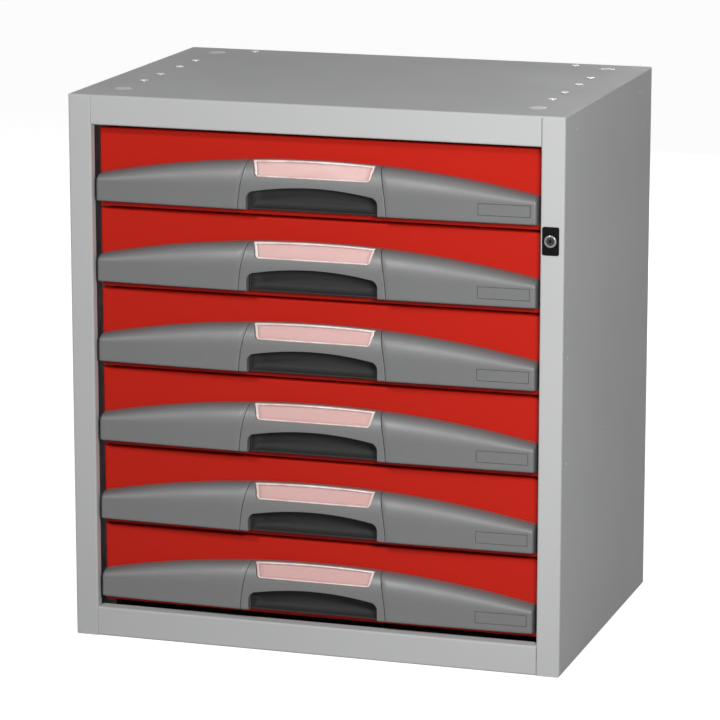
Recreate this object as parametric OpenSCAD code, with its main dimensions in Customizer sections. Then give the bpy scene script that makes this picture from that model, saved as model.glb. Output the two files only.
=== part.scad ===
// Workshop drawer cabinet: a folded steel casing with a column of drawers behind a stile lock.
// Millimetres. X runs across the front, the front faces -Y, Z is up from the floor.
// Inside the modules Y is measured back from the casing's front plane; in_case() places it.

/* [Casing] */
// Outer width of the casing
case_w = 640; // [600:10:760]
// Outer height of the casing
case_h = 700; // [660:10:760]
// Outer depth of the casing
case_d = 450; // [440:10:520]
// Steel sheet of the casing and the posts
sheet = 1.5; // [1:0.1:2]
// Outer radius of the folded edges
bend_r = 2.5; // [2.2:0.1:3.5]
// Visible width of each front stile
stile_w = 30; // [29:1:36]
// Depth of the stile's inner return
stile_return = 12; // [8:1:15]
// Height of the rail over the drawers
top_rail_h = 38; // [30:1:44]
// Height of the rail under the drawers
bottom_rail_h = 38; // [30:1:44]
// Depth of the top rail's return
top_rail_return = 12; // [8:1:15]
// Depth of the bottom rail's return
bottom_rail_return = 18; // [12:1:19]
// Width of the flanges that take the back panel
rear_flange = 16; // [12:1:22]
// Radius of the back panel's rivets
rivet_r = 3; // [2:0.5:4]
// Distance from the floor and the top to the end rivets
rivet_inset = 40; // [30:1:60]
// Height of a rivet head
rivet_h = 1.2; // [0.8:0.1:2]

/* [Posts] */
// Width of an upright post, front to back
post_w = 30; // [24:1:40]
// Distance from the front plane to the front posts
post_front = 52; // [48:1:70]
// Distance from the back panel to the rear posts
post_rear = 30; // [10:1:60]

/* [Drawers] */
// Number of drawers
drawer_count = 6; // [5:1:6]
// Distance from the stiles' front to the drawer fronts
front_recess = 20; // [16:1:24]
// Gap between two drawer fronts
front_gap = 3; // [2:0.5:5]
// Gap over the top drawer and under the bottom one
end_gap = 5.5; // [4:0.5:8]
// Gap between a drawer front and each stile
side_gap = 4; // [3:0.5:6]
// Steel sheet of the drawers
drawer_sheet = 1.2; // [0.8:0.1:1.6]
// Depth of the drawer front's folded edge
front_return = 14; // [10:1:16]
// Width of the flange that fixes the front to the tray
front_flange = 24; // [20:1:30]
// Height of the tray's floor over the front's lower edge
tray_lift = 8; // [6:0.5:10]
// Height of the tray's walls
tray_h = 78; // [70:1:82]
// How much lower the tray's back wall is
back_wall_drop = 12; // [4:1:30]
// Length of the tray, front to back
tray_d = 392; // [360:2:396]
// Height of the folded rim on the tray's walls
rim_h = 8; // [5:0.5:12]

/* [Handle] */
// Height of the handle's lower edge over the front's
handle_lift = 9; // [6:0.5:12]
// Distance from each end of the handle to the side of the front
handle_inset = 1; // [0.5:0.1:6]
// Height of the handle at its ends
handle_end_h = 34; // [30:0.5:40]
// Height of the handle at its crown
handle_mid_h = 63; // [58:0.5:70]
// Depth of the handle at its ends
handle_end_d = 19.5; // [18:0.5:26]
// Depth of the handle at its middle
handle_mid_d = 24.5; // [23:0.5:30]
// Height at which the handle's upright face starts to curve back
shoulder_h = 26; // [20:0.5:28]
// Depth of the flat along the handle's crown
crown_d = 5; // [3:0.5:8]
// Rounding of the handle's ends
end_round = 4; // [2:0.5:6]
// Rounding of the handle's lower edge
foot_round = 3; // [2:0.5:4]
// Half width of the bridge at its top
bridge_top = 86; // [85:0.5:92]
// Half width of the bridge at its foot
bridge_foot = 96; // [94:0.5:102]
// Outward curve of the seam between bridge and wing
seam_curve = 1.8; // [0:0.1:3]
// Gap between the bridge and each wing
seam_gap = 0.6; // [0.4:0.1:1]

/* [Finger pull] */
// Width of the finger opening
pull_w = 170; // [150:1:172]
// Height of the opening at its middle
pull_mid_h = 31; // [26:0.5:33]
// Height of the opening at its sides
pull_side_h = 24; // [18:0.5:26]
// Radius of the opening's upper corners
pull_corner_r = 10; // [4:0.5:12]
// Height of the hollow behind the bridge
hollow_h = 36; // [34:0.5:38]
// Depth of the hollow behind the bridge
hollow_d = 15; // [12:0.5:17]
// Wall of the finger cup
cup_wall = 2; // [1.5:0.1:2.5]
// Inner radius of the cup's curve
cup_r = 8; // [4:0.5:10]
// Clearance round the cup
cup_clear = 0.25; // [0.1:0.05:0.5]
// Reach of the cup's lower lip
cup_lip = 15.5; // [15:0.1:18]

/* [Label window] */
// Width of the window along its top
label_top_w = 158; // [140:1:164]
// Width of the window along its foot
label_foot_w = 148; // [130:1:156]
// Height of the window
label_h = 23.6; // [18:0.5:25]
// Height of the window's foot over the handle's lower edge
label_lift = 41.3; // [40:0.1:43]
// Distance of the window's foot from the drawer front
label_out = 18; // [17:0.1:19]
// Lean of the window, in degrees
label_tilt = 20; // [16:0.5:22]
// Thickness of the clear window
label_t = 2; // [1.5:0.1:2.5]
// Room behind the window for a paper label
label_room = 0.8; // [0.4:0.1:1.2]

/* [Slides] */
// Height of a slide's outer member
slide_h = 35; // [30:1:40]
// Thickness of a slide over all its members
slide_t = 12.7; // [12:0.1:14]
// Length of a slide
slide_len = 390; // [350:2:394]
// Height of the slides' middle over the front's lower edge
slide_lift = 40; // [36:1:42]
// Steel of the slides' members
slide_gauge = 1.2; // [0.9:0.1:1.4]
// Running clearance between two members
slide_clear = 0.4; // [0.3:0.05:0.5]
// Depth of the ball track between two members
track_h = 2.1; // [1.6:0.1:2.4]

/* [Lock] */
// Width of the lock's face plate
plate_w = 21; // [19:0.5:23]
// Height of the lock's face plate
plate_h = 35; // [30:0.5:42]
// Thickness of the lock's face plate
plate_t = 1.4; // [1:0.1:2]
// Distance from the top of the casing to the lock
lock_drop = 152; // [140:1:165]
// Distance from the stile's inner edge to the lock
lock_inset = 13; // [12.5:0.5:14]
// Radius of the turning barrel
barrel_r = 7.5; // [6:0.1:7.8]
// Running clearance round the barrel
barrel_clear = 0.06; // [0.03:0.01:0.09]
// How far the bar rises when the key turns
lock_throw = 10; // [9:0.5:11]
// Width of the lock bar
bar_w = 12; // [10:0.5:13]
// Thickness of the lock bar and its cam
bar_t = 2; // [1.5:0.1:2.2]
// Height of a blocking finger
finger_h = 8; // [6:0.5:9]

/* [Holes and plugs] */
// Distance from each side to the rows of holes in the top
top_hole_inset = 51; // [46:1:60]
// Distance from the front to the front plugs
plug_front = 60; // [50:1:75]
// Distance from the back to the rear plugs
plug_back = 43; // [36:1:60]
// Radius of a plug's head
plug_r = 11; // [8:0.5:13]
// Distance from the front to the first threaded insert
insert_front = 132; // [120:1:150]
// Distance from the back to the last insert of a row
insert_back = 126; // [110:1:150]
// Where the inserts of a row lie, as shares of the way from the first to the last
insert_shares = [0, 0.3125, 0.6875, 1];
// Distance from each side to the rear pair of inserts
rear_insert_inset = 98; // [80:1:120]
// Distance from the back to the rear pair of inserts
rear_insert_back = 21; // [18:1:30]
// Radius of an insert's thread core
insert_r = 2.5; // [2:0.1:3]
// Length of an insert under the roof
insert_len = 10; // [8:1:14]
// Radius of the holes in the sides
side_hole_r = 2.5; // [2:0.1:3.5]
// Distance from the front plane to the first column of side holes
side_hole_front = 22; // [20:1:30]
// Distance from the back to the last column of side holes
side_hole_back = 28; // [24:1:40]
// Height of the lower row of side holes
side_hole_low = 268; // [240:1:300]
// Distance between the two rows of side holes
side_hole_rise = 133; // [110:1:150]
// Distance from the top to the upper pair of side holes
side_hole_drop = 24; // [20:1:40]
// Distance from the front plane to the first upper hole
upper_hole_front = 54; // [50:1:70]
// Distance from the back to the second upper hole
upper_hole_back = 66; // [60:1:90]

/* [Hidden] */
$fn = 32;
eps = 0.01;
arc_steps = 4;
inner_x = case_w / 2 - stile_w;
front_w = 2 * (inner_x - side_gap);
wing_end = front_w / 2 - handle_inset;
// The bridge's legs stand furthest forward; the origin is under the middle of the whole depth.
handle_front = bow(pull_w / 2) - front_recess;
front_y = handle_front - (case_d + rivet_h + handle_front) / 2;
opening_h = case_h - top_rail_h - bottom_rail_h;
front_h = (opening_h - 2 * end_gap - (drawer_count - 1) * front_gap) / drawer_count;
drawer_pitch = front_h + front_gap;

// The slides run just inside the opening, on the posts' faces.
post_x = inner_x - side_gap - 1;
tray_x = post_x - slide_t;
tray_y = front_recess + front_return;
slide_y = tray_y + 2;
floor_z = 2 * sheet;
roof_z = case_h - sheet;
back_y = case_d - 2 * sheet;
rear_post_y = back_y - post_rear - post_w;
rivet_x = case_w / 2 - rear_flange / 2 - 1;
rivet_clear = 0.1;
insert_wall = 1.4;
insert_flange = 1.2;
insert_flange_t = 0.8;
face_lean = 0.5;

// The lock's column of parts, from the front plane backwards.
lock_x = inner_x + lock_inset;
lock_z = case_h - lock_drop;
case_half_w = plate_w / 2 - 1;
case_half_h = plate_h / 2 - 3.5;
lock_case_d = front_recess + front_return - 4;
cam_y = lock_case_d + 0.5;
cam_arm = lock_throw;
pin_r = 2.2;
bar_y = tray_y + 4;
bar_x = lock_x + 1;
finger_in = tray_x + 5;
finger_z = slide_lift + slide_h / 2 + 2.5;
catch_gap = 2;
catch_y = bar_y + bar_t + catch_gap;
catch_z = finger_z + finger_h + 2;
catch_h = 12;
catch_reach = 11;
catch_foot = 22;
seat_gap = 0.05;
guide_wall = 2.2;
guide_clear = 0.3;

WING_STEPS = 8;
BRIDGE_STEPS = 12;
CURVE_STEPS = 8;
crown_r = (pow(wing_end, 2) + pow(handle_mid_h - handle_end_h, 2)) / (2 * (handle_mid_h - handle_end_h));

DRAWER_PARTS = ["tray", "front", "handle_wings", "handle_bridge", "finger_cup", "label_window",
    "inner_slides", "middle_slides"];
function drawer_node(i, part) = str("drawer_", i, "_", part);

// ---------- helpers ----------

function arc(x, y, r, from, to) =
    [for (k = [0:arc_steps]) let (a = from + (to - from) * k / arc_steps) [x + r * cos(a), y + r * sin(a)]];
function mix(a, b, t) = a + (b - a) * t;
function bezier(a, b, c, d, t) =
    pow(1 - t, 3) * a + 3 * pow(1 - t, 2) * t * b + 3 * (1 - t) * pow(t, 2) * c + pow(t, 3) * d;
// Drawer 1 is the top one; this is the height of its front's lower edge.
function front_z(i) = bottom_rail_h + end_gap + (drawer_count - i) * drawer_pitch;

module in_case() { translate([0, front_y, 0]) children(); }
module at_drawer(i) { translate([0, front_y, front_z(i)]) children(); }
// A flat outline drawn in (y, z), drawn out along X, and one drawn in (x, z), along Y.
module along_x(from, to) { translate([from, 0, 0]) rotate([90, 0, 90]) linear_extrude(to - from) children(); }
module along_y(from, to) { translate([0, to, 0]) rotate([90, 0, 0]) linear_extrude(to - from) children(); }
module box(low, high) { translate(low) cube(high - low); }
module pair() { for (s = [0, 1]) mirror([s, 0, 0]) children(); }

// ---------- casing ----------

// Plan of a side: the stile's return, the stile, the side and the rear flange, in one sheet.
module side_plan() {
    w = case_w / 2;
    r = bend_r;
    outer = concat(
        [[inner_x, stile_return]],
        arc(inner_x + r, r, r, 180, 270),
        arc(w - r, r, r, 270, 360),
        arc(w - r, case_d - r, r, 0, 90),
        [[w - rear_flange, case_d]]);
    inner = concat(
        [[w - rear_flange, case_d - sheet]],
        arc(w - r, case_d - r, r - sheet, 90, 0),
        arc(w - r, r, r - sheet, 360, 270),
        arc(inner_x + r, r, r - sheet, 270, 180),
        [[inner_x + sheet, stile_return]]);
    polygon(concat(outer, inner));
}

// Front view of a side, with its lower corner rounded into the foot flange.
module side_front_view() {
    w = case_w / 2;
    polygon(concat([[0, case_h - bend_r], [0, 0]], arc(w - bend_r, bend_r, bend_r, 270, 360),
        [[w, case_h - bend_r]]));
}

module side_holes() {
    for (share = [0, 0.5, 1], row = [0, 1])
        side_hole(mix(side_hole_front, case_d - side_hole_back, share), side_hole_low + row * side_hole_rise);
    for (y = [upper_hole_front, case_d - upper_hole_back]) side_hole(y, case_h - side_hole_drop);
}
module side_hole(y, z) {
    translate([case_w / 2 - 2 * sheet, y, z]) rotate([0, 90, 0]) cylinder(r = side_hole_r, h = 4 * sheet);
}

module side_panel() {
    w = case_w / 2;
    difference() {
        intersection() {
            union() {
                linear_extrude(case_h) side_plan();
                box([w - rear_flange, bend_r, 0], [w, case_d - bend_r, sheet]);
            }
            along_y(0, case_d) side_front_view();
        }
        side_holes();
        for (z = rivet_heights()) translate([rivet_x, case_d - 2 * sheet, z]) rotate([-90, 0, 0])
            cylinder(r = rivet_r / 2 + rivet_clear, h = 3 * sheet);
    }
}

module left_side() {
    color([0.72, 0.73, 0.73]) in_case() mirror([1, 0, 0]) side_panel();
}

module right_side() {
    color([0.72, 0.73, 0.73]) in_case() difference() {
        side_panel();
        box([lock_x - case_half_w - 0.2, -1, lock_z - case_half_h - 0.2],
            [lock_x + case_half_w + 0.2, sheet + 1, lock_z + case_half_h + 0.2]);
    }
}

// A lid with its upper edges rounded, drawn in by g on every face.
module lid(g, foot) {
    w = case_w / 2 - g;
    r = bend_r - g;
    top = case_h - g;
    intersection() {
        along_x(-w, w) polygon(concat([[case_d - g, foot], [case_d - g, top], [g + r, top]],
            arc(g + r, top - r, r, 90, 180), [[g, foot]]));
        along_y(0, case_d) polygon(concat([[-w, foot]], arc(-w + r, top - r, r, 180, 90),
            arc(w - r, top - r, r, 90, 0), [[w, foot]]));
    }
}

module top_rail_profile() {
    low = case_h - top_rail_h;
    r = bend_r;
    polygon(concat([[0, case_h - r], [sheet, case_h - r]],
        arc(r, low + r, r - sheet, 180, 270), [[top_rail_return, low + sheet], [top_rail_return, low]],
        arc(r, low + r, r, 270, 180)));
}

module top_panel() {
    color([0.66, 0.67, 0.67]) in_case() difference() {
        union() {
            difference() {
                lid(0, case_h - bend_r);
                lid(sheet, case_h - bend_r - 1);
            }
            along_x(-inner_x, inner_x) top_rail_profile();
        }
        pair() {
            for (k = [0, 1]) top_drill(plug_y(k), plug_r - 2);
            for (p = insert_places()) translate([p[0], p[1], case_h - 2 * sheet])
                cylinder(r = insert_r + insert_wall + 0.2, h = 3 * sheet);
        }
    }
}
module top_drill(y, r) {
    translate([case_w / 2 - top_hole_inset, y, case_h - 2 * sheet]) cylinder(r = r, h = 3 * sheet);
}
function plug_y(k) = mix(plug_front, case_d - plug_back, k);
// The right half's inserts: a row of four, and one near the back.
function insert_places() = concat(
    [for (s = insert_shares) [case_w / 2 - top_hole_inset, mix(insert_front, case_d - insert_back, s)]],
    [[case_w / 2 - rear_insert_inset, case_d - rear_insert_back]]);

// The bottom rail folds back over and under, and the floor is welded to it.
module bottom_rail_profile() {
    top = bottom_rail_h;
    r = bend_r;
    polygon(concat([[rear_flange, 0]], arc(r, r, r, 270, 180), arc(r, top - r, r, 180, 90),
        [[bottom_rail_return, top], [bottom_rail_return, top - sheet]],
        arc(r, top - r, r - sheet, 90, 180), arc(r, r, r - sheet, 180, 270), [[rear_flange, sheet]]));
}

module bottom_panel() {
    color([0.66, 0.67, 0.67]) in_case() difference() {
        union() {
            along_x(-inner_x, inner_x) bottom_rail_profile();
            box([-inner_x, sheet / 2, sheet], [inner_x, back_y, floor_z]);
            box([-case_w / 2 + sheet, stile_return + 1, sheet], [case_w / 2 - sheet, back_y, floor_z]);
        }
        translate([5, bottom_rail_return / 2, bottom_rail_h - 2 * sheet]) cylinder(r = 2, h = 3 * sheet);
    }
}

function rivet_heights() = [for (k = [0:4]) mix(rivet_inset, case_h - rivet_inset, k / 4)];
module back_panel() {
    w = case_w / 2 - bend_r;
    color([0.62, 0.63, 0.63]) in_case() {
        box([-w, back_y, floor_z - sheet], [w, back_y + sheet, roof_z]);
        pair() for (z = rivet_heights())
            translate([rivet_x, back_y + sheet - eps, z]) rotate([-90, 0, 0]) {
                cylinder(r = rivet_r / 2, h = sheet + 2 * eps);
                translate([0, 0, sheet + eps]) cylinder(r1 = rivet_r, r2 = rivet_r * 0.6, h = rivet_h);
            }
    }
}

// ---------- posts and fixed slide members ----------

// Plan of a post: a channel from the side panel to the slides' face.
module post_plan() {
    outer = case_w / 2 - sheet;
    difference() {
        translate([post_x, 0]) square([outer - post_x, post_w]);
        translate([post_x + sheet, sheet]) square([outer - post_x, post_w - 2 * sheet]);
    }
}

module slide_posts() {
    color([0.5, 0.51, 0.52]) in_case() {
        pair() for (y = [post_front, rear_post_y]) difference() {
            translate([0, y, floor_z]) linear_extrude(roof_z - floor_z) post_plan();
            for (i = [1:drawer_count])
                translate([post_x - 1, y + post_w / 2, front_z(i) + slide_lift]) rotate([0, 90, 0])
                    cylinder(r = 2.2, h = sheet + 2);
        }
        for (z = guide_heights()) translate([0, 0, z]) bar_guide();
    }
}

// Staples on the right front post that the lock bar runs in.
function guide_heights() = [for (i = [1, 3, drawer_count]) front_z(i) + 16];
module bar_guide() {
    low = bar_x - bar_w / 2 - guide_clear;
    high = bar_x + bar_w / 2 + guide_clear;
    y = bar_y - guide_clear - guide_wall;
    difference() {
        box([low - guide_wall, y, 0], [high + guide_wall, post_front, 14]);
        box([low, y + guide_wall, -1], [high, bar_y + bar_t + guide_clear, 15]);
    }
}

// A slide lies between the tray's side (u = slide_t) and the post (u = 0); the profile is (u, z).
module slide_profile(web, edge, half, flange) {
    difference() {
        translate([min(web, edge), -half]) square([abs(edge - web), 2 * half]);
        translate([web < edge ? web + slide_gauge : edge - 1, -half + flange])
            square([abs(edge - web) - slide_gauge + 1, 2 * (half - flange)]);
    }
}
outer_half = slide_h / 2;
middle_half = outer_half - slide_gauge - slide_clear;
middle_flange = slide_gauge + track_h;
inner_half = middle_half - middle_flange - slide_clear;
middle_web = slide_gauge + slide_clear;

module on_slide(i) {
    translate([0, front_y, front_z(i) + slide_lift]) pair()
        along_y(slide_y, slide_y + slide_len) translate([post_x, 0]) mirror([1, 0]) children();
}
module outer_profile() { slide_profile(0, slide_t * 0.72, outer_half, slide_gauge); }
module middle_profile() { slide_profile(middle_web, slide_t * 0.86, middle_half, middle_flange); }
module inner_profile() { slide_profile(slide_t, middle_web + slide_gauge + slide_clear, inner_half, slide_gauge); }

module outer_slides() {
    color([0.78, 0.79, 0.8]) for (i = [1:drawer_count]) on_slide(i) outer_profile();
}
module middle_slides(i) {
    color([0.74, 0.75, 0.76]) on_slide(i) middle_profile();
}
module inner_slides(i) {
    color([0.8, 0.81, 0.82]) on_slide(i) inner_profile();
}

// ---------- lock ----------

module lock_case() {
    color([0.06, 0.06, 0.07]) in_case() translate([lock_x, 0, lock_z]) difference() {
        union() {
            box([-plate_w / 2, -plate_t, -plate_h / 2], [plate_w / 2, 0, plate_h / 2]);
            box([-case_half_w, -eps, -case_half_h], [case_half_w, lock_case_d, case_half_h]);
        }
        along_y(-plate_t - 1, lock_case_d + 1) circle(r = barrel_r + barrel_clear);
    }
}

// The barrel turns a cam whose pin lifts the bar. At rest the pin points at the opening.
module lock_barrel() {
    color([0.7, 0.7, 0.72]) in_case() translate([lock_x, 0, lock_z]) {
        difference() {
            along_y(-plate_t - 0.8, cam_y) circle(r = barrel_r);
            along_y(-plate_t - 1, 8) {
                circle(r = 2);
                translate([-0.7, -4.2]) square([1.4, 8.4]);
            }
        }
        along_y(cam_y, cam_y + bar_t) {
            circle(r = barrel_r);
            translate([-cam_arm, -pin_r - 1.5]) square([cam_arm, 2 * pin_r + 3]);
            translate([-cam_arm, 0]) circle(r = pin_r + 1.5);
        }
        along_y(cam_y + bar_t - eps, bar_y + bar_t + 1.5) translate([-cam_arm, 0]) circle(r = pin_r);
    }
}

// One flat strip with a slotted plate for the cam's pin and a finger for each drawer.
module lock_bar() {
    low = front_z(drawer_count) + 4;
    high = front_z(1) + finger_z + finger_h + 6;
    slot_low = -pin_r - 0.3;
    slot_high = pin_r + lock_throw * 0.22 + 0.3;
    color([0.6, 0.6, 0.62]) in_case() difference() {
        along_y(bar_y, bar_y + bar_t) {
            translate([bar_x - bar_w / 2, low]) square([bar_w, high - low]);
            translate([lock_x - cam_arm - pin_r - 3, lock_z - 9])
                square([cam_arm + 2 * pin_r + 6, 20]);
            for (i = [1:drawer_count])
                translate([finger_in, front_z(i) + finger_z])
                    square([bar_x - finger_in, finger_h]);
        }
        along_y(bar_y - 1, bar_y + bar_t + 1)
            translate([lock_x - cam_arm - pin_r - 0.4, lock_z + slot_low])
                square([cam_arm + 2 * pin_r + 0.8, slot_high - slot_low]);
    }
}

// ---------- plugs and inserts ----------

module top_plugs() {
    color([0.82, 0.82, 0.8]) in_case() pair() for (k = [0, 1])
        translate([case_w / 2 - top_hole_inset, plug_y(k), case_h]) {
            cylinder(r1 = plug_r, r2 = plug_r - 0.6, h = 0.9);
            translate([0, 0, -sheet - 2]) cylinder(r = plug_r - 2.2, h = sheet + 2 + eps);
        }
}

module threaded_inserts() {
    color([0.8, 0.79, 0.74]) in_case() pair() for (p = insert_places())
        translate([p[0], p[1], case_h]) difference() {
            union() {
                cylinder(r = insert_r + insert_wall + insert_flange, h = insert_flange_t);
                translate([0, 0, -insert_len]) cylinder(r = insert_r + insert_wall, h = insert_len + eps);
            }
            translate([0, 0, -insert_len - 1]) cylinder(r = insert_r, h = insert_len + insert_flange_t + 2);
        }
}

// ---------- drawers ----------

// A block with its front edges rounded; the red front is one such block hollowed by another.
module pan(half_w, low, high, near, far, r) {
    intersection() {
        along_x(-half_w, half_w)
            polygon(concat([[far, low]], arc(near + r, low + r, r, 270, 180),
                arc(near + r, high - r, r, 180, 90), [[far, high]]));
        translate([0, 0, low]) linear_extrude(high - low)
            polygon(concat([[-half_w, far]], arc(-half_w + r, near + r, r, 180, 270),
                arc(half_w - r, near + r, r, 270, 360), [[half_w, far]]));
    }
}

module drawer_front(i) {
    t = drawer_sheet;
    color([0.78, 0.13, 0.1]) at_drawer(i) difference() {
        pan(front_w / 2, 0, front_h, front_recess, tray_y, 2);
        pan(front_w / 2 - t, t, front_h - t, front_recess + t, tray_y - t, 2 - t);
        box([-front_w / 2 + front_flange, front_recess + t, front_flange],
            [front_w / 2 - front_flange, tray_y + 1, front_h - front_flange]);
    }
}

// Section of a tray wall standing on its outer face, with its rim folded in.
module wall_profile(h) {
    t = drawer_sheet;
    polygon([[0, 0], [t, 0], [t, h - rim_h], [2 * t, h - rim_h + t], [2 * t, h], [0, h]]);
}

module tray(i) {
    t = drawer_sheet;
    far = tray_y + tray_d;
    color([0.62, 0.63, 0.64]) at_drawer(i) {
        translate([0, 0, tray_lift]) {
            box([-tray_x, tray_y, 0], [tray_x, far, t]);
            pair() along_y(tray_y, far) translate([-tray_x, 0]) wall_profile(tray_h);
            along_x(-tray_x, tray_x) translate([tray_y, 0]) wall_profile(tray_h);
            along_x(-tray_x, tray_x) translate([far, 0]) mirror([1, 0])
                wall_profile(tray_h - back_wall_drop);
        }
        // Lock catch: an angle bracket on the right wall.
        translate([tray_x + seat_gap, catch_y, catch_z]) {
            cube([catch_reach, bar_t, catch_h]);
            cube([bar_t, catch_foot, catch_h]);
        }
    }
}

// ---------- handle ----------

// Height and depth of the handle at a distance x from the middle.
function crown(x) = handle_mid_h - (crown_r - sqrt(pow(crown_r, 2) - pow(x, 2)));
function bow(x) = handle_mid_d - (handle_mid_d - handle_end_d) * pow(x / wing_end, 2);
// Where the seam lies at a share v of the handle's height.
function seam(v) = mix(bridge_foot, bridge_top, v) + 4 * seam_curve * v * (1 - v);

// Section of the handle: flat on the drawer, flat foot, an upright face up to the shoulder, which leans
// back a little, and a round crown. Each point is [distance out from the drawer front, height].
function section(h, out) = let (low = min(shoulder_h, 0.8 * h), face = out - face_lean) concat(
    [[0, 0]],
    [for (a = [0, 30, 60, 90]) [out - foot_round * (1 - sin(a)), foot_round * (1 - cos(a))]],
    [for (k = [0:CURVE_STEPS]) bezier([face, low], [face - face_lean, mix(low, h, 0.6)],
        [mix(crown_d, face, 0.45), h], [crown_d, h], k / CURVE_STEPS)],
    [[0, h]]);

// Rings of points become one closed skin; both ends are closed by fans.
module skin(rings) {
    n = len(rings[0]);
    last = len(rings) - 1;
    points = [for (ring = rings, p = ring) p];
    sides = [for (k = [0:last - 1], j = [0:n - 1]) let (a = k * n + j, b = k * n + (j + 1) % n)
        each [[a, b, b + n], [a, b + n, a + n]]];
    start = [for (j = [1:n - 2]) [0, j + 1, j]];
    end = [for (j = [1:n - 2]) [last * n, last * n + j, last * n + j + 1]];
    polyhedron(points, concat(sides, start, end));
}

function ring(h, out, at) = [for (p = section(h, out)) [at(p[1] / h), front_recess - p[0], p[1]]];

module wing() {
    top_x = bridge_top + seam_gap / 2;
    body = [for (k = [0:WING_STEPS]) let (t = k / WING_STEPS, x = mix(top_x, wing_end - end_round, t))
        ring(crown(x), bow(x), function (v) mix(seam(v) + seam_gap / 2, wing_end - end_round, t))];
    tip = [for (a = [45, 90]) let (in = end_round * (1 - cos(a)), x = wing_end - end_round * (1 - sin(a)))
        ring(crown(x) - in, bow(x) - in, function (v) x)];
    skin(concat(body, tip));
}

module handle_wings(i) {
    color([0.47, 0.48, 0.48]) at_drawer(i) translate([0, 0, handle_lift]) pair() wing();
}

// The finger opening: straight sides, rounded corners and an arched head.
function pull_outline(g) = let (w = pull_w / 2 + g, rise = pull_mid_h - pull_side_h, r = pull_corner_r,
        arch = (pow(w - r, 2) + pow(rise, 2)) / (2 * rise))
    concat([[w, -1], [w, pull_side_h + g - r]],
        [for (a = [22.5, 45, 67.5]) [w - r + r * cos(a), pull_side_h + g - r + r * sin(a)]],
        [for (k = [-8:8]) let (x = -(w - r) * k / 8)
            [x, pull_side_h + g + rise - (arch - sqrt(pow(arch, 2) - pow(x, 2)))]],
        [for (a = [112.5, 135, 157.5]) [-w + r + r * cos(a), pull_side_h + g - r + r * sin(a)]],
        [[-w, pull_side_h + g - r], [-w, -1]]);

// Half width of the label window at a height over its foot, and its outline grown by g;
// over is how far the outline's top passes the crown.
function label_side(v) = mix(label_foot_w, label_top_w, v / label_h) / 2;
function label_outline(g, over) = let (high = label_h + over, r = 4,
        top = label_side(high - pow(label_top_w / 2, 2) / (2 * crown_r)) + g,
        foot = label_side(0) + g, shoulder = label_side(r) + g)
    concat([[foot - r, -g], [foot - r * 0.3, -g + r * 0.3], [shoulder, -g + r]],
        [for (k = [-6:6]) let (x = -top * k / 6) [x, high - pow(x, 2) / (2 * crown_r)]],
        [[-shoulder, -g + r], [-foot + r * 0.3, -g + r * 0.3], [-foot + r, -g]]);
module on_label() {
    translate([0, front_recess - label_out, handle_lift + label_lift]) rotate([90 - label_tilt, 0, 0])
        children();
}

module handle_bridge(i) {
    rings = [for (k = [0:BRIDGE_STEPS]) let (t = 2 * k / BRIDGE_STEPS - 1, x = bridge_top * t)
        ring(crown(x), bow(x), function (v) t * (seam(v) - seam_gap / 2))];
    color([0.47, 0.48, 0.48]) at_drawer(i) difference() {
        translate([0, 0, handle_lift]) skin(rings);
        translate([0, 0, handle_lift]) along_y(front_recess - handle_mid_d - 1, front_recess + 1)
            polygon(pull_outline(0));
        box([-pull_w / 2, front_recess - hollow_d, handle_lift - 1],
            [pull_w / 2, front_recess + 1, handle_lift + hollow_h]);
        on_label() translate([0, 0, -label_t - label_room]) linear_extrude(20)
            polygon(label_outline(cup_clear, 8));
    }
}

// A scoop: floor, curved back and two end walls.
module finger_cup(i) {
    w = pull_w / 2 - cup_clear;
    back = front_recess - cup_clear;
    top = hollow_h - cup_clear;
    t = cup_wall;
    color([0.17, 0.17, 0.18]) at_drawer(i) translate([0, 0, handle_lift]) {
        along_x(-w, w) polygon(concat([[front_recess - cup_lip, 0], [back, 0], [back, top], [back - t, top]],
            arc(back - t - cup_r, t + cup_r, cup_r, 0, -90), [[front_recess - cup_lip, t]]));
        pair() box([w - t, front_recess - hollow_d + cup_clear, 0], [w, back, top]);
    }
}

// The clear window has a raised bead along its top and its foot.
module label_window(i) {
    color([0.95, 0.8, 0.78, 0.5]) at_drawer(i) on_label() {
        translate([0, 0, -label_t]) linear_extrude(label_t) polygon(label_outline(0, -0.6));
        linear_extrude(0.8) intersection() {
            polygon(label_outline(0, -0.6));
            union() {
                translate([-label_top_w, -1]) square([2 * label_top_w, 3.2]);
                translate([0, -2.6]) difference() {
                    translate([-label_top_w, 0]) square([2 * label_top_w, label_h * 2]);
                    polygon(label_outline(20, -0.6));
                }
            }
        }
    }
}

// ---------- the model ----------

left_side();
right_side();
top_panel();
bottom_panel();
back_panel();
slide_posts();
outer_slides();
lock_case();
lock_barrel();
lock_bar();
top_plugs();
threaded_inserts();
for (i = [1:drawer_count]) {
    tray(i);
    drawer_front(i);
    handle_wings(i);
    handle_bridge(i);
    finger_cup(i);
    label_window(i);
    inner_slides(i);
    middle_slides(i);
}
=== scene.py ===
import math

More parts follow.
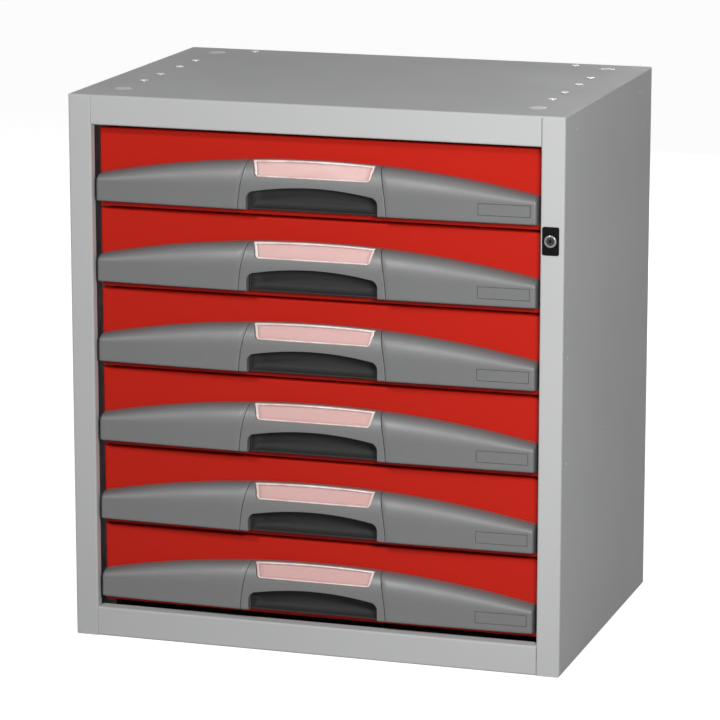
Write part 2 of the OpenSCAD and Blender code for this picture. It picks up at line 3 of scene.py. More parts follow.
import bmesh
import bpy
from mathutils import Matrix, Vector


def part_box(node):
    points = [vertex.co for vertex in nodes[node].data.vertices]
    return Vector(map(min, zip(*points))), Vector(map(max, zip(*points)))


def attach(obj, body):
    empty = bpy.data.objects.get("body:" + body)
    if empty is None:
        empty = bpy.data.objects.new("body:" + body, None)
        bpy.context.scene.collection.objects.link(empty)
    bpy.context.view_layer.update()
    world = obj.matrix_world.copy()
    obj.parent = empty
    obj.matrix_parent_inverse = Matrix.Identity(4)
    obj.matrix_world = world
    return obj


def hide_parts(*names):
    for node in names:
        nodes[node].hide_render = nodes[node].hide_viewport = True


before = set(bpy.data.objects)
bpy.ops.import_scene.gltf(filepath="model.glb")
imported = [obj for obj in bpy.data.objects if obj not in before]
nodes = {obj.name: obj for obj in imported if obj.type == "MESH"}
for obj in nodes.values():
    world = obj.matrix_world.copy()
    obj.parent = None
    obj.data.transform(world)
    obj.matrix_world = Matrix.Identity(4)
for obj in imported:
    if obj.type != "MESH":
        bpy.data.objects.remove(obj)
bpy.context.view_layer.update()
scene = bpy.context.scene
DRAWERS = range(1, 7)
MM = 0.001
WELD = 0.001 * MM
SHARP_ANGLE = math.radians(35.0)
TURN_STEPS = 48


# ---------- the photograph's view ----------

CAMERA_AT = (1.41651, -4.49646, 1.38156)
CAMERA_YAW, CAMERA_PITCH = math.radians(17.59), math.radians(12.53)
CAMERA_LENS, SENSOR_WIDTH, CLIP_END = 186.1, 36.0, 100.0


def place_camera():
    camera = bpy.data.objects.new("camera", bpy.data.cameras.new("camera"))
    scene.collection.objects.link(camera)
    camera.location = CAMERA_AT
    camera.rotation_euler = (math.pi / 2 - CAMERA_PITCH, 0.0, CAMERA_YAW)
    camera.data.lens = CAMERA_LENS
    camera.data.sensor_width = SENSOR_WIDTH
    camera.data.clip_end = CLIP_END
    scene.camera = camera


# ---------- finishes ----------

def shader_of(name, colour, roughness, metallic=0.0, specular=0.5):
    """A material with one Principled shader, and its node tree."""
    material = bpy.data.materials.new(name)
    material.use_nodes = True
    tree = material.node_tree
    shader = tree.nodes["Principled BSDF"]
    shader.inputs["Base Color"].default_value = (*colour, 1.0)
    shader.inputs["Roughness"].default_value = roughness
    shader.inputs["Metallic"].default_value = metallic
    shader.inputs["Specular IOR Level"].default_value = specular
    return material, tree, shader


def noise_on(tree, scale, detail=3.0, stretch=(1.0, 1.0, 1.0)):
    """Noise on Object coordinates, in features per metre, drawn out along an axis by a low stretch."""
    place = tree.nodes.new("ShaderNodeTexCoord")
    mapping = tree.nodes.new("ShaderNodeMapping")
    mapping.inputs["Scale"].default_value = stretch
    noise = tree.nodes.new("ShaderNodeTexNoise")
    noise.inputs["Scale"].default_value = scale
    noise.inputs["Detail"].default_value = detail
    tree.links.new(place.outputs["Object"], mapping.inputs["Vector"])
    tree.links.new(mapping.outputs["Vector"], noise.inputs["Vector"])
    return noise.outputs["Fac"]


def spread(tree, value, low, high, from_low=0.3, from_high=0.7):
    """Maps a pattern's middle range to low..high."""
    node = tree.nodes.new("ShaderNodeMapRange")
    node.inputs["From Min"].default_value = from_low
    node.inputs["From Max"].default_value = from_high
    node.inputs["To Min"].default_value = low
    node.inputs["To Max"].default_value = high
    tree.links.new(value, node.inputs["Value"])
    return node.outputs["Result"]


def tint(tree, value, dark, light):
    """A colour between dark and light, by a pattern's value."""
    blend = tree.nodes.new("ShaderNodeMix")
    blend.data_type = "RGBA"
    blend.inputs["A"].default_value = (*dark, 1.0)
    blend.inputs["B"].default_value = (*light, 1.0)
    tree.links.new(value, blend.inputs["Factor"])
    return blend.outputs["Result"]


def vary_colour(tree, shader, pattern, dark, light):
    """Lets the base colour drift between dark and light with a pattern."""
    drift = spread(tree, pattern, 0.0, 1.0)
    tree.links.new(tint(tree, drift, dark, light), shader.inputs["Base Color"])


def vary_roughness(tree, shader, pattern, low, high):
    tree.links.new(spread(tree, pattern, low, high), shader.inputs["Roughness"])


def relief(tree, shader, height, strength, depth):
    """A fine swell of the surface, depth metres deep."""
    bump = tree.nodes.new("ShaderNodeBump")
    bump.inputs["Strength"].default_value = strength
    bump.inputs["Distance"].default_value = depth
    tree.links.new(height, bump.inputs["Height"])
    tree.links.new(bump.outputs["Normal"], shader.inputs["Normal"])


def scaled(colour, share):
    return tuple(c * share for c in colour)


def powder_coat(name, colour, roughness, specular, coat=0.0):
    """Baked powder paint: faint drift of tone, and the fine swell of the coat."""
    material, tree, shader = shader_of(name, colour, roughness, specular=specular)
    vary_colour(tree, shader, noise_on(tree, 2.6), scaled(colour, 0.965), scaled(colour, 1.02))
    vary_roughness(tree, shader, noise_on(tree, 9.0, 4.0), roughness - 0.04, roughness + 0.04)
    relief(tree, shader, noise_on(tree, 620.0, 2.0), 0.12, 0.0004)
    shader.inputs["Coat Weight"].default_value = coat
    shader.inputs["Coat Roughness"].default_value = 0.22
    return material


def moulded_plastic(name, colour, roughness, specular, grain=1500.0):
    """Moulded plastic with the mould's spark-eroded grain."""
    material, tree, shader = shader_of(name, colour, roughness, specular=specular)
    vary_colour(tree, shader, noise_on(tree, grain, 4.0), scaled(colour, 0.86), scaled(colour, 1.12))
    vary_roughness(tree, shader, noise_on(tree, 14.0), roughness - 0.03, roughness + 0.05)
    relief(tree, shader, noise_on(tree, grain * 0.8), 0.35, 0.0002)
    return material


def rolled_steel(name, colour, roughness, along):
    """Zinc-plated or bare rolled steel, with streaks along the rolling direction and clouded plating."""
    material, tree, shader = shader_of(name, colour, roughness, metallic=1.0)
    stretch = tuple(0.03 if axis == along else 1.0 for axis in "XYZ")
    vary_colour(tree, shader, noise_on(tree, 34.0, 5.0), scaled(colour, 0.86), scaled(colour, 1.08))
    streaks = noise_on(tree, 900.0, 3.0, stretch)
    vary_roughness(tree, shader, streaks, roughness - 0.08, roughness + 0.12)
    relief(tree, shader, streaks, 0.15, 0.0001)
    return material


def clear_window(name):
    """Clear styrene that shows the card behind it, tinted pink as painted glare over the red front."""
    material, tree, shader = shader_of(name, (0.9, 0.72, 0.7), 0.14, specular=0.4)
    shader.inputs["Alpha"].default_value = 0.25
    vary_roughness(tree, shader, noise_on(tree, 60.0, 3.0, (0.3, 1.0, 1.0)), 0.22, 0.34)
    return material


def window_bead(name):
    """The window's thick edges, which gather the light, coloured pale pink to cream as a painted highlight."""
    material, tree, shader = shader_of(name, (0.9, 0.72, 0.67), 0.2)
    # Patches of painted highlight along the bead.
    glow = noise_on(tree, 45.0, 2.0, (1.0, 1.0, 0.2))
    vary_colour(tree, shader, glow, (0.78, 0.5, 0.46), (0.92, 0.8, 0.75))
    return material


def blank_card(name):
    """Unprinted pale card, tinted pink as painted glare of the clear window over the red front."""
    material, tree, shader = shader_of(name, (0.82, 0.45, 0.42), 0.7, specular=0.2)
    fibres = noise_on(tree, 700.0, 5.0, (0.3, 1.0, 1.0))
    vary_colour(tree, shader, fibres, (0.79, 0.42, 0.39), (0.86, 0.49, 0.455))
    relief(tree, shader, noise_on(tree, 1200.0), 0.1, 0.0001)
    return material


PAINT = powder_coat("casing_paint", (0.56, 0.565, 0.565), 0.62, 0.12)
RED = powder_coat("red_paint", (0.55, 0.014, 0.005), 0.5, 0.12, 0.1)
TRAY_PAINT = powder_coat("tray_paint", (0.36, 0.365, 0.37), 0.5, 0.35)
GREY = moulded_plastic("handle_grey", (0.15, 0.152, 0.153), 0.42, 0.75)
# The finger scoop: dark grey plastic, set darker still as painted shade of the hollow under the bridge.
SCOOP_GREY_AND_SHADE = moulded_plastic("cup_charcoal", (0.036, 0.036, 0.037), 0.6, 0.15)
BLACK = moulded_plastic("lock_black", (0.005, 0.005, 0.0055), 0.6, 0.06, 900.0)
PALE = moulded_plastic("plug_pale", (0.66, 0.66, 0.64), 0.45, 0.4, 900.0)
POST = rolled_steel("post_steel", (0.55, 0.56, 0.57), 0.42, "Z")
SLIDE = rolled_steel("slide_steel", (0.68, 0.69, 0.7), 0.28, "Y")
CHROME = rolled_steel("lock_metal", (0.3, 0.3, 0.31), 0.24, "Z")
DARK_METAL = rolled_steel("barrel_plug", (0.05, 0.05, 0.052), 0.3, "Z")
ZINC = rolled_steel("insert_zinc", (0.66, 0.65, 0.61), 0.36, "Z")
WINDOW = clear_window("label_clear")
BEAD = window_bead("label_bead")
CARD = blank_card("label_card")


# ---------- making pieces ----------

def piece(name, bm, materials, body, replaces=()):
    """Turns a bmesh into a smooth-shaded piece that rides on a body."""
    mesh = bpy.data.meshes.new(name)
    bm.to_mesh(mesh)
    bm.free()
    for material in materials:
        mesh.materials.append(material)
    mesh.polygons.foreach_set("use_smooth", [True] * len(mesh.polygons))
    mesh.set_sharp_from_angle(angle=SHARP_ANGLE)
    made = bpy.data.objects.new(name, mesh)
    scene.collection.objects.link(made)
    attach(made, body)
    if replaces:
        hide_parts(*replaces)
    return made


def sheet(bm, columns, rows, place):
    """A grid whose vertex in column i and row j is moved to place(i, j); returns them by (i, j)."""
    made = bmesh.ops.create_grid(bm, x_segments=columns - 1, y_segments=rows - 1, size=0.5)["verts"]
    found = {(round((v.co.x + 0.5) * (columns - 1)), round((v.co.y + 0.5) * (rows - 1))): v for v in made}
    for (i, j), v in found.items():
        v.co = place(i, j)
    return found


def close_up(bm):
    """Joins the seam of a wrapped grid, caps its open ends and turns every face outwards."""
    bmesh.ops.remove_doubles(bm, verts=bm.verts, dist=WELD)
    bmesh.ops.holes_fill(bm, edges=[e for e in bm.edges if e.is_boundary], sides=0)
    bmesh.ops.recalc_face_normals(bm, faces=bm.faces)


def turned(bm, profile, centre, axis):
    """Spins a profile of (radius, height) points round an axis through centre."""
    side = Vector((1, 0, 0)) if abs(axis[2]) > 0.5 else Vector((0, 0, 1))
    verts = [bm.verts.new(Vector(centre) + side * r + Vector(axis) * h) for r, h in profile]
    edges = [bm.edges.new(pair) for pair in zip(verts, verts[1:])]
    bmesh.ops.spin(bm, geom=verts + edges, cent=centre, axis=axis, dvec=(0, 0, 0), angle=2 * math.pi,
                   steps=TURN_STEPS, use_merge=True)
    bmesh.ops.remove_doubles(bm, verts=bm.verts, dist=WELD)
    bmesh.ops.recalc_face_normals(bm, faces=bm.faces)


def round_off(bm, edges, radius, segments):
    """Rounds the given edges."""
    bmesh.ops.bevel(bm, geom=edges, offset=radius, offset_type="OFFSET", segments=segments, profile=0.5,
                    affect="EDGES", clamp_overlap=True, material=-1)


def face_front(bm):
    """Turns a single sheet's faces towards the front."""
    bmesh.ops.recalc_face_normals(bm, faces=bm.faces)
    bm.normal_update()
    if sum(f.normal.y * f.calc_area() for f in bm.faces) > 0:
        bmesh.ops.reverse_faces(bm, faces=bm.faces)


def thickened(made, thickness):
    """Gives a single sheet a wall behind it."""
    wall = made.modifiers.new("wall", "SOLIDIFY")
    wall.thickness = thickness
    wall.offset = -1.0
    wall.use_even_offset = True


def mix(a, b, t):
    return a + (b - a) * t


def steps(a, b, count, first=0):
    """Even steps from a to b, from the given step on."""
    return [mix(a, b, k / count) for k in range(first, count + 1)]


# ---------- bow handles ----------

# H, LIFT: heights over the handle's foot. D, OUT: distances in front of its back. R: radii. T: thicknesses.
END_H, MID_H, END_D, MID_D = 34.0 * MM, 63.0 * MM, 19.5 * MM, 24.5 * MM
SHOULDER_H, SHOULDER_SHARE, CROWN_D, FACE_LEAN = 26.0 * MM, 0.8, 5.0 * MM, 0.5 * MM
CREST_OUT, CREST_UP = 0.45, 0.6
BRIDGE_TOP, BRIDGE_FOOT, SEAM_CURVE, SEAM_GAP = 86.0 * MM, 96.0 * MM, 1.8 * MM, 0.6 * MM
PULL_SIDE, PULL_MID_H, PULL_SIDE_H, PULL_R = 85.0 * MM, 31.0 * MM, 24.0 * MM, 10.0 * MM
HOLLOW_H, HOLLOW_D = 36.0 * MM, 15.0 * MM
FOOT_R, END_R = 3.0 * MM, 4.0 * MM
WING_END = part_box("drawer_1_handle_wings")[1].x
CROWN_R = (WING_END ** 2 + (MID_H - END_H) ** 2) / (2 * (MID_H - END_H))
LABEL_TILT, LABEL_LIFT, LABEL_OUT, LABEL_H = math.radians(20.0), 41.3 * MM, 18.0 * MM, 23.6 * MM
LABEL_FOOT_HALF, LABEL_TOP_HALF = 74.0 * MM, 79.0 * MM
LABEL_T, LABEL_ROOM, LABEL_CLEAR, LABEL_R = 2.0 * MM, 0.8 * MM, 0.25 * MM, 4.0 * MM
LIP = 0.7 * MM


def crown(x):
    """The handle's height at x, along the arc of its top."""
    return MID_H - (CROWN_R - math.sqrt(CROWN_R ** 2 - x * x))


def bow(x):
    """How far the handle stands out at x."""
    return MID_D - (MID_D - END_D) * (x / WING_END) ** 2


def seam(v):
    """Where the seam between bridge and wing lies, at a share of the height."""
    return mix(BRIDGE_FOOT, BRIDGE_TOP, v) + 4 * SEAM_CURVE * v * (1 - v)


def shoulder_of(h):
    """The height at which the upright face ends."""
    return min(SHOULDER_H, SHOULDER_SHARE * h)


def crest(h, out, t):
    """The handle's curve from its upright face to the crown, as (distance out, height)."""
    low, face = shoulder_of(h), out - FACE_LEAN
    a, b, c, d = (1 - t) ** 3, 3 * (1 - t) ** 2 * t, 3 * (1 - t) * t * t, t ** 3
    return (a * face + b * (face - FACE_LEAN) + c * mix(CROWN_D, face, CREST_OUT) + d * CROWN_D,
            a * low + b * mix(low, h, CREST_UP) + (c + d) * h)


def share_where(h, out, passed):
    """The first share of the curve at which passed(out, height) holds."""
    low, high = 0.0, 1.0
    for _ in range(40):
        t = (low + high) / 2
        low, high = (low, t) if passed(*crest(h, out, t)) else (t, high)
    return (low + high) / 2


def face_at(h, out, height):
    """A point of the handle's front at a height over its foot."""
    low = shoulder_of(h)
    if height <= low:
        return (out - FACE_LEAN * max(0.0, height - FOOT_R) / (low - FOOT_R), height)
    return crest(h, out, share_where(h, out, lambda o, z: z > height))


def foot_points(out):
    """The back corner, then the foot's rounding from below to the front."""
    turn = [math.radians(22.5 * k) for k in range(5)]
    return [(0.0, 0.0)] + [(out - FOOT_R * (1 - math.sin(a)), FOOT_R * (1 - math.cos(a))) for a in turn]


# The blank outline moulded into the right-hand wing, as a fine groove.
FRAME_X, FRAME_Z = (212 * MM, 277 * MM), (9.5 * MM, 23.8 * MM)
GROOVE = (-0.9 * MM, -0.45 * MM, 0.0, 0.45 * MM, 0.9 * MM)
GROOVE_DEPTH, GROOVE_MARGIN, ON_GROOVE = 0.85 * MM, 1.6 * MM, 0.01 * MM
WING_HEIGHTS = ([5.5 * MM] + [FRAME_Z[0] + g for g in GROOVE] + [13.5 * MM, 16.5 * MM, 20 * MM]
                + [FRAME_Z[1] + g for g in GROOVE])
CROWN_STEPS, END_STEPS = 18, 7
SEAM_FADE = 150 * MM


def wing_section(x, shrink):
    """The wing's outline at x, drawn in by shrink, from the back corner round the front to the top."""
    h, out = crown(x) - shrink, bow(x) - shrink
    squeeze = shoulder_of(h) / SHOULDER_H
    front = [face_at(h, out, mix(FOOT_R, z, squeeze)) for z in WING_HEIGHTS]
    front += [crest(h, out, k / CROWN_STEPS) for k in range(CROWN_STEPS + 1)]
    return foot_points(out) + front + [(0.0, h)]


def wing_stations():
    """Positions along the wing with how far each ring is drawn in, from the seam to the rounded end."""
    top = BRIDGE_TOP + SEAM_GAP / 2
    stations = [(top, LIP), (top + 0.2 * MM, LIP * 0.35), (top + LIP, 0.0)]
    plain = steps(top + LIP, FRAME_X[0] - GROOVE_MARGIN, 16, 1)
    plain += [FRAME_X[0] + g for g in GROOVE]
    plain += steps(FRAME_X[0] + GROOVE_MARGIN, FRAME_X[1] - GROOVE_MARGIN, 7)
    plain += [FRAME_X[1] + g for g in GROOVE]
    plain += steps(FRAME_X[1] + GROOVE_MARGIN, WING_END - END_R, 2)
    stations += [(x, 0.0) for x in plain]
    for k in range(1, END_STEPS + 1):
        a = math.radians(90 * k / END_STEPS)
        stations.append((WING_END - END_R * (1 - math.sin(a)), END_R * (1 - math.cos(a))))
    return stations


def on_line(value, ends):
    """Whether a value lies on one of the two ends."""
    return min(abs(value - end) for end in ends) < ON_GROOVE


def within(value, ends):
    """Whether a value lies between the two ends, or on one."""
    return ends[0] - ON_GROOVE < value < ends[1] + ON_GROOVE


def add_wing(bm, side, front_y, foot_z):
    """One wing, from the leaning seam to the rounded end, with the groove on the right-hand one."""
    stations = wing_stations()
    sections = [wing_section(x, shrink) for x, shrink in stations]
    count = len(sections[0])

    def place(i, j):
        x, _ = stations[i]
        out, z = sections[i][j % count]
        fade = max(0.0, 1 - (x - BRIDGE_TOP) / (SEAM_FADE - BRIDGE_TOP))
        lean = (seam(min(1.0, z / crown(x))) - BRIDGE_TOP) * fade
        upright = on_line(x, FRAME_X) and within(z, FRAME_Z)
        level = on_line(z, FRAME_Z) and within(x, FRAME_X)
        if side > 0 and (upright or level) and out > CROWN_D:
            out -= GROOVE_DEPTH
        return Vector((side * (x + lean), front_y - out, foot_z + z))

    sheet(bm, len(stations), count + 1, place)


def label_side(v):
    """Half the window's width at a height up the leaning plane."""
    return mix(LABEL_FOOT_HALF, LABEL_TOP_HALF, v / LABEL_H)


def label_foot(u, side):
    """How far the window's rounded lower corners rise at u."""
    into = max(0.0, abs(u) - (side - LABEL_R))
    return LABEL_R - math.sqrt(max(0.0, LABEL_R ** 2 - min(into, LABEL_R) ** 2))


def on_label(u, v, w, front_y, foot_z):
    """A point on the leaning label plane: u across, v up it, w out of it."""
    out = LABEL_OUT - v * math.sin(LABEL_TILT) + w * math.cos(LABEL_TILT)
    z = LABEL_LIFT + v * math.cos(LABEL_TILT) + w * math.sin(LABEL_TILT)
    return Vector((u, front_y - out, foot_z + z))


def arch(x):
    """Height of the finger opening at x, down to where its rounded corner meets the straight side."""
    flat, rise = PULL_SIDE - PULL_R, PULL_MID_H - PULL_SIDE_H
    radius = (flat ** 2 + rise ** 2) / (2 * rise)
    x = min(abs(x), PULL_SIDE)
    if x <= flat:
        return PULL_MID_H - (radius - math.sqrt(radius ** 2 - x * x))
    return PULL_SIDE_H - PULL_R + math.sqrt(max(0.0, PULL_R ** 2 - (x - flat) ** 2))


LEG_ROWS, BROW_ROWS, LABEL_ROWS, LABEL_GAP = 6, 6, 14, 0.3 * MM
ARCH_ROW, LABEL_COLUMNS = 5 + LEG_ROWS, 14
LEG_COLUMNS, LEG_SHRINK = (0.35, 0.7, 0.93, 0.98, 1.0), {0.98: LIP * 0.35, 1.0: LIP}
RIM_ROUND = 1.2 * MM


def bridge_columns():
    """Columns from the middle outwards, each as (side, zone, share of the zone)."""
    corner = 1 - LABEL_R / label_side(0.0)
    label = [share for share in steps(0.0, 1.0, LABEL_COLUMNS) if share < corner]
    label += [mix(corner, 1.0, math.sin(math.radians(18 * k))) for k in range(6)]
    columns = [("label", v) for v in label] + [("pull", 0.0)]
    flat, edge = PULL_SIDE - PULL_R, label_side(0.0) + LABEL_CLEAR + LABEL_GAP
    bends = [flat + PULL_R * math.sin(math.radians(15 * k)) for k in range(1, 6)]
    columns += [("pull", (x - edge) / (PULL_SIDE - edge)) for x in bends] + [("pull", 1.0)]
    columns += [("leg", share) for share in LEG_COLUMNS]
    return [(-1, *c) for c in reversed(columns[1:])] + [(1, *c) for c in columns]


def bridge_x(zone, share, z, h):
    """Where a column lies at a height: it follows the label's side, the opening's side or the seam."""
    edge = label_side(max(0.0, (z - LABEL_LIFT) / math.cos(LABEL_TILT))) + LABEL_CLEAR
    if zone == "label":
        return edge * share
    if zone == "pull":
        return mix(edge + LABEL_GAP, PULL_SIDE, share)
    return mix(PULL_SIDE, seam(min(1.0, z / h)) - SEAM_GAP / 2, share)


def bridge_section(zone, share):
    """A column's outline round the bridge, with the label's recess cut in, and its height."""
    x = bridge_x(zone, share, 0.0, MID_H)
    nominal = min(x, BRIDGE_TOP)
    shrink = LEG_SHRINK.get(share, 0.0) if zone == "leg" else 0.0
    h, out = crown(nominal) - shrink, bow(nominal) - shrink
    slope, depth = math.tan(LABEL_TILT), LABEL_T + LABEL_ROOM
    foot = label_foot(x, label_side(0.0) + LABEL_CLEAR) if zone == "label" else LABEL_R
    foot_out = LABEL_OUT - (foot - LABEL_CLEAR) * math.sin(LABEL_TILT)
    foot_high = LABEL_LIFT + (foot - LABEL_CLEAR) * math.cos(LABEL_TILT)
    start = share_where(h, out, lambda o, z: z - foot_high > slope * (o - foot_out))
    brow = crest(h, out, start)
    opening = arch(nominal)
    points = foot_points(out)
    points += [face_at(h, out, z) for z in steps(FOOT_R, opening, LEG_ROWS, 1)]
    points += [face_at(h, out, z) for z in steps(opening, brow[1], BROW_ROWS, 1)]
    if zone == "label":
        floor_out = foot_out - depth * math.cos(LABEL_TILT)
        floor_high = foot_high - depth * math.sin(LABEL_TILT)
        points += [(floor_out - (z - floor_high) * slope, z) for z in steps(floor_high, h, LABEL_ROWS)]
    else:
        shares = [(k + 0.2) / (LABEL_ROWS + 0.2) for k in range(LABEL_ROWS + 1)]
        points += [crest(h, out, mix(start, 1.0, t)) for t in shares]
    return points + [(0.0, h), (0.0, HOLLOW_H)], h


def edges_along(bm, chain):
    """The edges between each vertex of a chain and the next."""
    return [bm.edges.get(pair) for pair in zip(chain, chain[1:])]


def add_bridge(bm, front_y, foot_z):
    """The handle's middle: a wrapped grid, cut open under the arch and hollowed out behind it."""
    columns = bridge_columns()
    made = [bridge_section(zone, share) for _, zone, share in columns]
    count = len(made[0][0])

    def place(i, j):
        side, zone, share = columns[i]
        points, h = made[i]
        out, z = points[j % count]
        return Vector((side * bridge_x(zone, share, z, h), front_y - out, foot_z + z))

    found = sheet(bm, len(columns), count + 1, place)
    first = next(i for i, c in enumerate(columns) if c[1:] == ("pull", 1.0))
    last = len(columns) - 1 - first
    back_row = count - 1
    gone = []
    for i in range(first, last):
        for j in list(range(ARCH_ROW)) + [back_row]:
            corners = {found[i, j], found[i + 1, j], found[i, j + 1], found[i + 1, j + 1]}
            gone += [f for f in found[i, j].link_faces if set(f.verts) == corners]
    brow = [found[i, ARCH_ROW] for i in range(first, last + 1)]
    ceiling = [found[i, back_row] for i in range(first, last + 1)]
    sides = [found[i, j] for i in (first, last) for j in range(1, ARCH_ROW + 1)]
    bmesh.ops.delete(bm, geom=gone, context="FACES")
    chain = brow
    for height in (None, HOLLOW_H):
        grown = bmesh.ops.extrude_edge_only(bm, edges=edges_along(bm, chain))["geom"]
        chain = sorted((g for g in grown if isinstance(g, bmesh.types.BMVert)), key=lambda v: v.co.x)
        for v in chain:
            v.co.y = front_y - HOLLOW_D
            if height:
                v.co.z = foot_z + height
    bmesh.ops.bridge_loops(bm, edges=edges_along(bm, chain) + edges_along(bm, ceiling))
    around = set(brow + sides)
    rim = [e for e in bm.edges if around.issuperset(e.verts)]
    close_up(bm)
    round_off(bm, [e for e in rim if e.is_valid], RIM_ROUND, 3)
    bmesh.ops.recalc_face_normals(bm, faces=bm.faces)


CUP_REACH, CUP_WALL, CUP_CURVE, CUP_END = 15.5 * MM, 2.0 * MM, 8.0 * MM, 82.6 * MM
CUP_BACK, CUP_FLAT, CUP_ROOM, CUP_SHEET, CUP_INSET = 2.3 * MM, 68 * MM, 0.3 * MM, 1.9 * MM, 1.5 * MM
CUP_LIP = ((0.0, 0.5 * MM), (0.1 * MM, 1.3 * MM), (0.5 * MM, 1.8 * MM), (1.2 * MM, CUP_WALL))


def add_cup(bm, front_y, foot_z):
    """The scoop's inner surface: a thin lip, a floor that curves up into the back, and rounded ends."""
    path = [(CUP_REACH - inset, z) for inset, z in CUP_LIP]
    path += [(CUP_BACK + CUP_CURVE * (1 - math.sin(a)), CUP_WALL + CUP_CURVE * (1 - math.cos(a)))
             for a in (math.radians(11.25 * k) for k in range(9))]
    path += [(CUP_BACK, z) for z in steps(path[-1][1], HOLLOW_H - CUP_ROOM, 8, 1)]
    across = steps(0.0, CUP_FLAT, 8)[:-1]
    across += [CUP_FLAT + (CUP_END - CUP_FLAT) * math.sin(math.radians(9 * k)) for k in range(11)]
    across = [-x for x in reversed(across[1:])] + across

    def place(i, j):
        x = across[i]
        out, z = path[j]
        turn = max(0.0, (abs(x) - CUP_FLAT) / (CUP_END - CUP_FLAT))
        reach = CUP_REACH - CUP_INSET - CUP_BACK
        wall = CUP_BACK + reach * (1 - math.sqrt(max(0.0, 1 - turn * turn)))
        out = mix(wall, CUP_REACH, (out - CUP_BACK) / (CUP_REACH - CUP_BACK))
        return Vector((x, front_y - out, foot_z + z))

    sheet(bm, len(across), len(path), place)
    face_front(bm)


BEAD_H, FOOT_BEAD, TOP_BEAD, SIDE_BEAD_SHARE, WINDOW_DROP = 0.8 * MM, 2.2 * MM, 2.6 * MM, 0.4, 0.6 * MM
BEAD_MARKS = (0.0, 0.25, 0.7, 1.1, 1.5, 1.95, 2.2)
CORNER_STEPS = 6


def bead_height(distance, width):
    """A half-round bead of that width, at a distance from its outer edge."""
    if distance >= width:
        return 0.0
    return BEAD_H * math.sqrt(max(0.0, 1 - (2 * distance / width - 1) ** 2))


def add_window(bm, front_y, foot_z):
    """The clear window: a leaning plate with a bead along its top and foot and a low one at each end."""
    corner = 1 - LABEL_R / label_side(0.0)
    end = [mix(corner, 1.0, math.sin(math.radians(15 * k))) for k in range(CORNER_STEPS + 1)]
    across = [-share for share in reversed(end)] + steps(-corner, corner, 24, 1)[:-1] + end

    def place(i, j):
        side = label_side(LABEL_H)
        u = across[i] * side
        foot, high = label_foot(u, side), LABEL_H - WINDOW_DROP - u * u / (2 * CROWN_R)
        marks = [foot + mark * MM for mark in BEAD_MARKS]
        marks += steps(foot + FOOT_BEAD, high - TOP_BEAD, 4, 1)[:-1]
        marks += [high - mark * MM * TOP_BEAD / FOOT_BEAD for mark in reversed(BEAD_MARKS)]
        v = marks[j]
        bead = max(bead_height(v - foot, FOOT_BEAD), bead_height(high - v, TOP_BEAD))
        if 0.0 < side - abs(u) < LABEL_R:
            bead = max(bead, SIDE_BEAD_SHARE * bead_height(side - abs(u), LABEL_R))
        return on_label(across[i] * label_side(v), v, bead, front_y, foot_z)

    edge_rows, edge_columns = len(BEAD_MARKS) - 1, CORNER_STEPS - 1
    rows = 2 * len(BEAD_MARKS) + 3
    found = sheet(bm, len(across), rows, place)
    for i in range(len(across) - 1):
        for j in range(rows - 1):
            if edge_rows <= j < rows - 1 - edge_rows and edge_columns <= i < len(across) - 1 - edge_columns:
                continue
            for face in found[i, j].link_faces:
                if found[i + 1, j + 1] in face.verts:
                    face.material_index = 1
    face_front(bm)


CARD_FOOT, CARD_TOP, CARD_SIDE, CARD_GAP, CARD_T = 0.8 * MM, 3.4 * MM, 1.2 * MM, 0.15 * MM, 0.3 * MM
CARD_ACROSS, CARD_UP = 16, 4


def add_card(bm, front_y, foot_z):
    """The blank card, just behind the window."""

    def place(i, j):
        v = mix(CARD_FOOT, LABEL_H - CARD_TOP, j / CARD_UP)
        u = mix(-1, 1, i / CARD_ACROSS) * (label_side(v) - CARD_SIDE)
        return on_label(u, v, -LABEL_T - CARD_GAP, front_y, foot_z)

    sheet(bm, CARD_ACROSS + 1, CARD_UP + 1, place)
    face_front(bm)


def shaped(*makers):
    """A new bmesh with each maker's shape in it."""
    bm = bmesh.new()
    for make in makers:
        make(bm)
    return bm


def add_handle(number):
    """A drawer's handle: grips, bridge, scoop and window, each in the place of its plain node, and the card
    behind the window.
    """
    name, body = f"drawer_{number}_", f"drawer_{number}"
    low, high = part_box(name + "handle_wings")
    at = (high.y, low.z)
    grips = shaped(lambda bm: add_wing(bm, 1, *at), lambda bm: add_wing(bm, -1, *at), close_up)
    piece(name + "grips", grips, [GREY], body, [name + "handle_wings"])
    bridge = shaped(lambda bm: add_bridge(bm, *at))
    piece(name + "bridge", bridge, [GREY], body, [name + "handle_bridge"])
    scoop = shaped(lambda bm: add_cup(bm, *at))
    made = piece(name + "scoop", scoop, [SCOOP_GREY_AND_SHADE], body, [name + "finger_cup"])
    thickened(made, CUP_SHEET)
    window = shaped(lambda bm: add_window(bm, *at))
    made = piece(name + "window", window, [WINDOW, BEAD], body, [name + "label_window"])
    thickened(made, LABEL_T)
    card = shaped(lambda bm: add_card(bm, *at))
    thickened(piece(name + "card", card, [CARD], body), CARD_T)


for number in DRAWERS:
    add_handle(number)


# ---------- lock face ----------

PLATE_T, PLATE_CORNER, PLATE_ROUND, HOUSING_START = 1.4 * MM, 2.2 * MM, 0.5 * MM, 1.5 * MM
HOUSING_W, HOUSING_H = 19 * MM, 28 * MM
# The barrel's rim, as (radius, distance out) in millimetres, and its plug. The marks, the keyway's side and end
# and the plug's edge are shares of its radius.
RIM_PROFILE = ((7.2, -0.2), (7.2, 0.15), (7.0, 0.4), (6.5, 0.55), (6.0, 0.4), (5.8, 0.1), (5.75, -0.2))
PLUG_R, PLUG_RISE, PLUG_WALL = 5.2 * MM, 0.35 * MM, 0.2 * MM
KEYWAY_SIDE, KEYWAY_END, KEYWAY_DEPTH, PLUG_EDGE = 0.2, 0.7, 0.9 * MM, 0.9
PLUG_MARKS = (-1, -0.93, -0.8, -0.6, -0.36, -0.22, -0.16, 0, 0.16, 0.22, 0.36, 0.6, 0.8, 0.93, 1)


